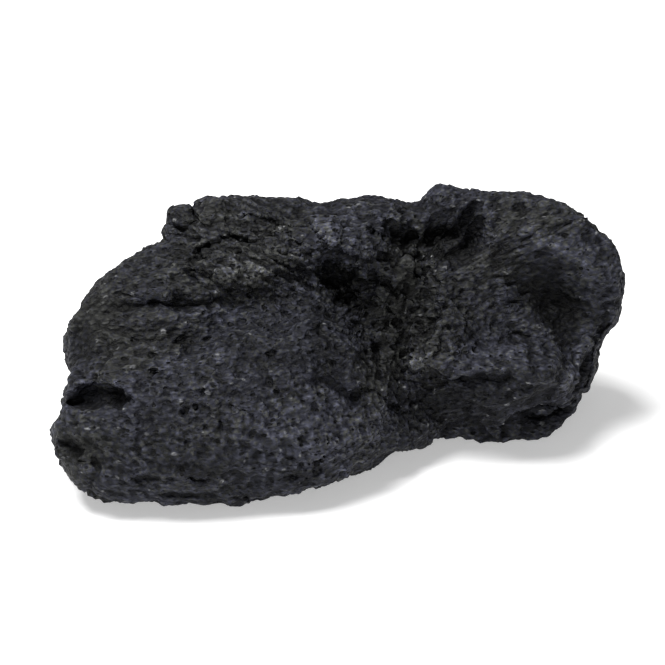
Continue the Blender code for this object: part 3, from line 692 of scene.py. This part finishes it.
def small_marks(p):
    """Depth of the small pits, each an S curve to its rim, and of the fine creases."""
    u, v = wobbled(*on_sheet(p))
    pits = sum(deep * spot(u, v, *shape, 0.7) for *shape, deep in SMALL_PITS.values())
    return pits + creased(u, v, FINE_CREASES)


def fine_relief(p, facing):
    """Relief too fine for the solid: lumps and grit, small chips, thin plates on the upper left, less two
    sizes of bubble bowls."""
    u, v = on_sheet(p)
    ropy, valley = grounds(u, v, facing)
    spacing, high, seed = FINE_PLATES
    height = high * ropy * plates(u, v, p, spacing, seed)
    for size, high, seed, shift in LUMPS:
        height += high * noise(p + shift, size, seed)
    for size, high, more, seed in FINE_CHIPS:
        height += (high + more * valley) * chips(p, size, seed)
    for *bowl, deep in BOWLS:
        height -= deep * bubbles(p, *bowl)
    return height


def box_grid(cells):
    """Directions over the six faces of a box and the quads that join them: on each face
    d(s, t) = (side, tan(s), tan(t)), with s and t from -45 to 45 degrees, leaned towards the front and made
    one long. Points that two faces share are merged, so the skin closes."""
    points, quads, start = [], [], 0
    spread = [np.tan(np.linspace(-np.pi / 4, np.pi / 4, count + 1)) for count in cells]
    for axis in range(3):
        a, b = (axis + 1) % 3, (axis + 2) % 3
        s, t = np.meshgrid(spread[a], spread[b], indexing="ij")
        index = np.arange(s.size).reshape(s.shape)
        face = np.stack([index[:-1, :-1], index[1:, :-1], index[1:, 1:], index[:-1, 1:]], -1).reshape(-1, 4)
        for side in (-1, 1):
            d = np.empty(s.shape + (3,))
            d[..., axis], d[..., a], d[..., b] = side, s, t
            points.append(d.reshape(-1, 3))
            quads.append(start + (face if side > 0 else face[:, ::-1]))
            start += s.size
    points, index = np.unique(np.round(np.concatenate(points), 9), axis=0, return_inverse=True)
    points += GRID_LEAN * TOWARDS_EYE
    return points / np.linalg.norm(points, axis=1)[:, None], index.reshape(-1)[np.concatenate(quads)]


def neighbours_mean(values, quads):
    """Each point's mean over the points that share an edge with it."""
    count = 2 * np.bincount(quads.ravel(), minlength=len(values))[:, None]
    total = sum(
        gathered(quads[:, k], values[quads[:, (k + 1) % 4]] + values[quads[:, k - 1]], len(values))
        for k in range(4)
    )
    return total / count


def hollowness(p, quads, rounds):
    """How far each point lies under its surroundings, in mm: h = (mean of the ground round it - p) . n"""
    ground = p
    for _ in range(rounds):
        ground = neighbours_mean(ground, quads)
    return ((ground - p) * normals(p, quads)).sum(1)


def weathering(p, facing):
    """1 on brown-grey ground and 0 on blue-grey skin: ovals on the front, and broad noise round the rest."""
    u, v = on_sheet(p)
    u = u + 5 * noise(p, 14, 61)
    v = v + 5 * noise(p, 14, 62)
    front = np.zeros(len(p))
    for middle, half, turn, slope, amount in WEATHERED.values():
        front = np.maximum(front, amount * spot(u, v, middle, half, turn, slope))
    rest = smooth(0.5 + 1.2 * layered_noise(p, 45, 3, 71))
    return front * facing + 0.8 * rest * (1 - facing)


def painted_light_and_tone(p, facing):
    """Painted light and shade on the front, with some of the stone's own paler and darker ground: the product
    of 1 + change over the ovals.
    """
    u, v = wobbled(*on_sheet(p))
    tone_and_painted_light = np.ones(len(p))
    for *shape, change in PAINTED_LIGHT_AND_TONES.values():
        tone_and_painted_light *= 1 + change * spot(u, v, *shape)
    return 1 + (tone_and_painted_light - 1) * facing


def stone_surface():
    """The skin p(s, t) in mm, its quads, and what the finish reads at each point: the smooth stone, less the
    marks of the front along the line of sight, plus the relief along the normals, cut flat at the base."""
    directions, quads = box_grid(GRID_CELLS)
    p = relaxed(first_skin(directions), quads)
    facing = faces_eye(p, quads)
    shade = facing * smooth(hollowed(*wobbled(*on_sheet(p))) / DEEP)
    worn = weathering(p, facing)
    tone_and_painted_light = painted_light_and_tone(p, facing)
    p = p - TOWARDS_EYE * ((sunk(p) + small_marks(p)) * facing)[:, None]
    p = p + normals(p, quads) * (raised(p, quads) + fine_relief(p, facing))[:, None]
    p[:, 2] = np.maximum(p[:, 2], 0)
    marks = {
        "near_hollow": hollowness(p, quads, 2),
        "wide_hollow": hollowness(p, quads, 12),
        "weathered": worn,
        "shade": shade,
        "tone_and_painted_light": tone_and_painted_light,
    }
    return p, quads, marks


def placed(p):
    """Points moved, and shrunk where they stand proud, into the solid's box. Returns them and the move."""
    low, high = (np.array(corner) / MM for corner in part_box("lava_rock"))
    size = np.minimum((high - low) / np.ptp(p, axis=0), 1)
    middle = (p.min(0) + p.max(0)) / 2
    move = (low + high) / 2 - middle
    move[2] = -p[:, 2].min()
    q = (p - middle) * size + middle + move
    q[:, 2] -= q[:, 2].min()
    return q, move


def new_mesh(name, points, quads):
    """A smooth-shaded mesh of quads, from points in metres."""
    mesh = bpy.data.meshes.new(name)
    mesh.vertices.add(len(points))
    mesh.vertices.foreach_set("co", points.astype(np.float32).ravel())
    mesh.loops.add(4 * len(quads))
    mesh.loops.foreach_set("vertex_index", quads.astype(np.int32).ravel())
    mesh.polygons.add(len(quads))
    mesh.polygons.foreach_set("loop_start", np.arange(0, 4 * len(quads), 4, dtype=np.int32))
    mesh.update(calc_edges=True)
    mesh.shade_smooth()
    return mesh


def new_object(name, mesh):
    made = bpy.data.objects.new(name, mesh)
    bpy.context.scene.collection.objects.link(made)
    return made


def lava_rock():
    """The stone's skin, in the place of the solid. Returns how far it was moved into the solid's box."""
    p, quads, marks = stone_surface()
    p, move = placed(p)
    mesh = new_mesh("lava_rock_skin", p * MM, quads)
    for name, values in marks.items():
        mesh.attributes.new(name, "FLOAT", "POINT").data.foreach_set("value", values.astype(np.float32))
    stone = new_object("lava_rock_skin", mesh)
    mesh.materials.append(black_basalt())
    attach(stone, "root")
    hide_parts("lava_rock")
    return move


def node(tree, kind, inputs, **settings):
    """A shader node with its settings; an input is a plain value or the socket that feeds it."""
    new = tree.nodes.new("ShaderNode" + kind)
    for name, value in settings.items():
        setattr(new, name, value)
    for name, value in inputs.items():
        if isinstance(value, bpy.types.NodeSocket):
            tree.links.new(value, new.inputs[name])
        else:
            new.inputs[name].default_value = value
    return new


def sum_of(tree, *values):
    """Values added up."""
    total = values[0]
    for value in values[1:]:
        total = node(tree, "Math", {0: total, 1: value}, operation="ADD").outputs[0]
    return total


def product(tree, *values):
    """Values multiplied together."""
    total = values[0]
    for value in values[1:]:
        total = node(tree, "Math", {0: total, 1: value}, operation="MULTIPLY").outputs[0]
    return total


def between(tree, value, low, high, first=0.0, last=1.0):
    """first below low, last above high, and an S curve from one to the other."""
    inputs = {"Value": value, "From Min": low, "From Max": high, "To Min": first, "To Max": last}
    return node(tree, "MapRange", inputs, interpolation_type="SMOOTHSTEP").outputs["Result"]


def mixed(tree, share, first, second):
    """first where share is 0 and second where it is 1."""
    inputs = {"Factor": share, 6: first, 7: second}
    return node(tree, "Mix", inputs, data_type="RGBA").outputs[2]


def grit(tree, place, size, detail=2.0):
    """Noise from 0 to 1, about size mm across."""
    inputs = {"Vector": place, "Scale": 1 / size, "Detail": detail, "Roughness": 0.6}
    return node(tree, "TexNoise", inputs).outputs["Fac"]


def knobs(tree, place, size):
    """Rounded grains packed side by side, size mm apart: 1 on their tops and 0 in the gaps."""
    inputs = {"Vector": place, "Scale": 1 / size, "Smoothness": 0.4}
    cells = node(tree, "TexVoronoi", inputs, feature="SMOOTH_F1")
    return between(tree, cells.outputs["Distance"], 0.8, 0.1)


def pores(tree, place, size, share, radius):
    """Bowls for gas bubbles, size mm apart: 1 in the middle and 0 outside, in a share of the cells."""
    cells = node(tree, "TexVoronoi", {"Vector": place, "Scale": 1 / size})
    chance = node(tree, "SeparateColor", {"Color": cells.outputs["Color"]})
    wide = between(tree, chance.outputs["Green"], 0, 1, 0.55 * radius / size, 1.3 * radius / size)
    bowl = between(tree, cells.outputs["Distance"], wide, product(tree, wide, 0.45))
    held = node(tree, "Math", {0: chance.outputs["Red"], 1: share}, operation="LESS_THAN").outputs[0]
    return product(tree, bowl, held)


def moved_by(tree, place, move):
    """Places moved by a vector."""
    return node(tree, "VectorMath", {0: place, 1: move}, operation="ADD").outputs[0]


def scaled(tree, vector, scale):
    """A vector or colour, larger or smaller."""
    return node(tree, "VectorMath", {0: vector, "Scale": scale}, operation="SCALE").outputs[0]


def read(tree, name):
    """What the skin carries at each point under this name."""
    return node(tree, "Attribute", {}, attribute_name=name).outputs["Fac"]


def black_basalt():
    """Dull black glass full of gas bubbles: blue-grey where it is fresh, brown-grey where it is weathered,
    with painted shade in the hollows and bubble pits, paler edges that are part wear and part painted
    highlight, pale grains with painted glints, and painted light and shade over the front."""
    material = bpy.data.materials.new("black basalt")
    material.use_nodes = True
    tree = material.node_tree
    shader = tree.nodes["Principled BSDF"]
    near, wide = read(tree, "near_hollow"), read(tree, "wide_hollow")

    place = scaled(tree, node(tree, "TexCoord", {}).outputs["Object"], 1 / MM)
    bend = node(tree, "TexNoise", {"Vector": place, "Scale": 1 / BEND_SIZE, "Detail": 1.0}).outputs["Color"]
    bend = scaled(tree, moved_by(tree, bend, (-0.5, -0.5, -0.5)), BEND)
    bent = moved_by(tree, place, bend)
    flow = {"Vector": bent, "Rotation": FLOW_TURN, "Scale": FLOW_STRETCH}
    flow = node(tree, "Mapping", flow).outputs[0]
    aside = moved_by(tree, flow, GRAINS_ASIDE)

    large = pores(tree, flow, *LARGE_BUBBLES)
    small = pores(tree, flow, *SMALL_BUBBLES)
    grains = pores(tree, aside, *PALE_GRAINS)
    packed = knobs(tree, aside, PACKED_GRAINS)
    coarse = grit(tree, flow, COARSE_GRIT)
    fine = grit(tree, flow, FINE_GRIT, 1.0)
    height = sum_of(
        tree,
        product(tree, large, LARGE_BUBBLE_HEIGHT),
        product(tree, small, SMALL_BUBBLE_HEIGHT),
        product(tree, grains, PALE_GRAIN_HEIGHT),
        product(tree, coarse, COARSE_GRIT_HEIGHT),
        product(tree, fine, FINE_GRIT_HEIGHT),
        product(tree, packed, PACKED_GRAIN_HEIGHT),
    )
    bump = node(tree, "Bump", {"Strength": 1.0, "Distance": MM, "Height": height})
    tree.links.new(bump.outputs["Normal"], shader.inputs["Normal"])

    patch = grit(tree, place, PATCHES)
    flecks = grit(tree, bent, FLECKS, 1.0)
    blotch = sum_of(
        tree,
        read(tree, "weathered"),
        between(tree, patch, 0.35, 0.65, -0.15, 0.25),
        between(tree, flecks, 0.35, 0.65, -0.6, 0.6),
        between(tree, packed, 0.6, 1, 0, 0.3),
    )
    skin = mixed(tree, between(tree, blotch, -0.2, 1.0), (*COOL_SKIN, 1), (*WARM_SKIN, 1))
    tone_and_painted_light = product(
        tree,
        # painted light and shade on the front, with some of the stone's own paler and darker ground
        read(tree, "tone_and_painted_light"),
        between(tree, coarse, 0.3, 0.7, 0.7, 1.3),
        between(tree, fine, 0.3, 0.7, 0.75, 1.25),
        between(tree, packed, 0.1, 0.9, 0.6, 1.3),
        # painted shade in small hollows; paler edges, part wear and part painted highlight
        between(tree, near, -0.25, 0.25, 1.3, 0.65),
        # painted shade in wide hollows
        between(tree, wide, -1.2, 1.2, 1.25, 0.6),
        between(tree, read(tree, "shade"), 0, 1, 1, 0.55),
    )
    skin = scaled(tree, skin, tone_and_painted_light)
    # pale grains with painted glints on them, few in wide hollows, where painted shade falls
    grains_and_glints = product(
        tree,
        grains,
        between(tree, fine, 0.35, 0.65),
        between(tree, coarse, 0.4, 0.65, 0.2, 1),
        between(tree, wide, -0.4, 0.4, 1, 0.1),
    )
    skin = mixed(tree, grains_and_glints, skin, (*PALE_GRAIN_AND_GLINT, 1))
    # painted shade in the bubble pits
    painted_pit_shade = sum_of(tree, large, product(tree, small, 0.75))
    skin = mixed(tree, between(tree, painted_pit_shade, 0.1, 0.8), skin, (*BUBBLE_PIT_SHADE, 1))
    tree.links.new(skin, shader.inputs["Base Color"])
    shader.inputs["Roughness"].default_value = ROUGHNESS
    shader.inputs["Specular IOR Level"].default_value = GLOSS
    return material


def floor():
    """The pale table that the stone lies on."""
    half = FLOOR_SIZE / 2
    corners = np.array([(-half, -half, 0), (half, -half, 0), (half, half, 0), (-half, half, 0)], float)
    mesh = new_mesh("floor", corners, np.array([[0, 1, 2, 3]]))
    material = bpy.data.materials.new("pale floor")
    material.use_nodes = True
    shader = material.node_tree.nodes["Principled BSDF"]
    shader.inputs["Base Color"].default_value = (*FLOOR_PALE, 1)
    shader.inputs["Roughness"].default_value = 0.9
    shader.inputs["Specular IOR Level"].default_value = 0.2
    shader.inputs["Emission Color"].default_value = (1, 1, 1, 1)
    shader.inputs["Emission Strength"].default_value = FLOOR_GLOW
    mesh.materials.append(material)
    new_object("floor", mesh)


def aimed(thing, place, target):
    """Puts a lamp or the camera in its place, pointed at the target."""
    thing.location = place
    thing.rotation_euler = (Vector(target) - Vector(place)).to_track_quat("-Z", "Y").to_euler()


def studio():
    """Soft light from above and from the front, and a little from all round."""
    world = bpy.data.worlds.new("studio")
    bpy.context.scene.world = world
    world.use_nodes = True
    background = world.node_tree.nodes["Background"]
    background.inputs["Color"].default_value = (1, 1, 1, 1)
    background.inputs["Strength"].default_value = WORLD_LIGHT
    for name, (place, size, watts) in SOFTBOXES.items():
        lamp = bpy.data.lights.new(name, "AREA")
        lamp.size = size
        lamp.energy = watts
        aimed(new_object(name, lamp), place, LIT_POINT)
    bpy.context.scene.view_settings.view_transform = "Standard"


def camera(move):
    """Looks at the middle of the sheet, from the point that the front's marks are drawn from."""
    lens = bpy.data.cameras.new("camera")
    lens.lens = CAMERA_LENS
    lens.sensor_width = CAMERA_SENSOR
    seen_from = new_object("camera", lens)
    aimed(seen_from, (EYE + move) * MM, (SHEET_MIDDLE + move) * MM)
    bpy.context.scene.camera = seen_from


move = lava_rock()
floor()
studio()
camera(move)
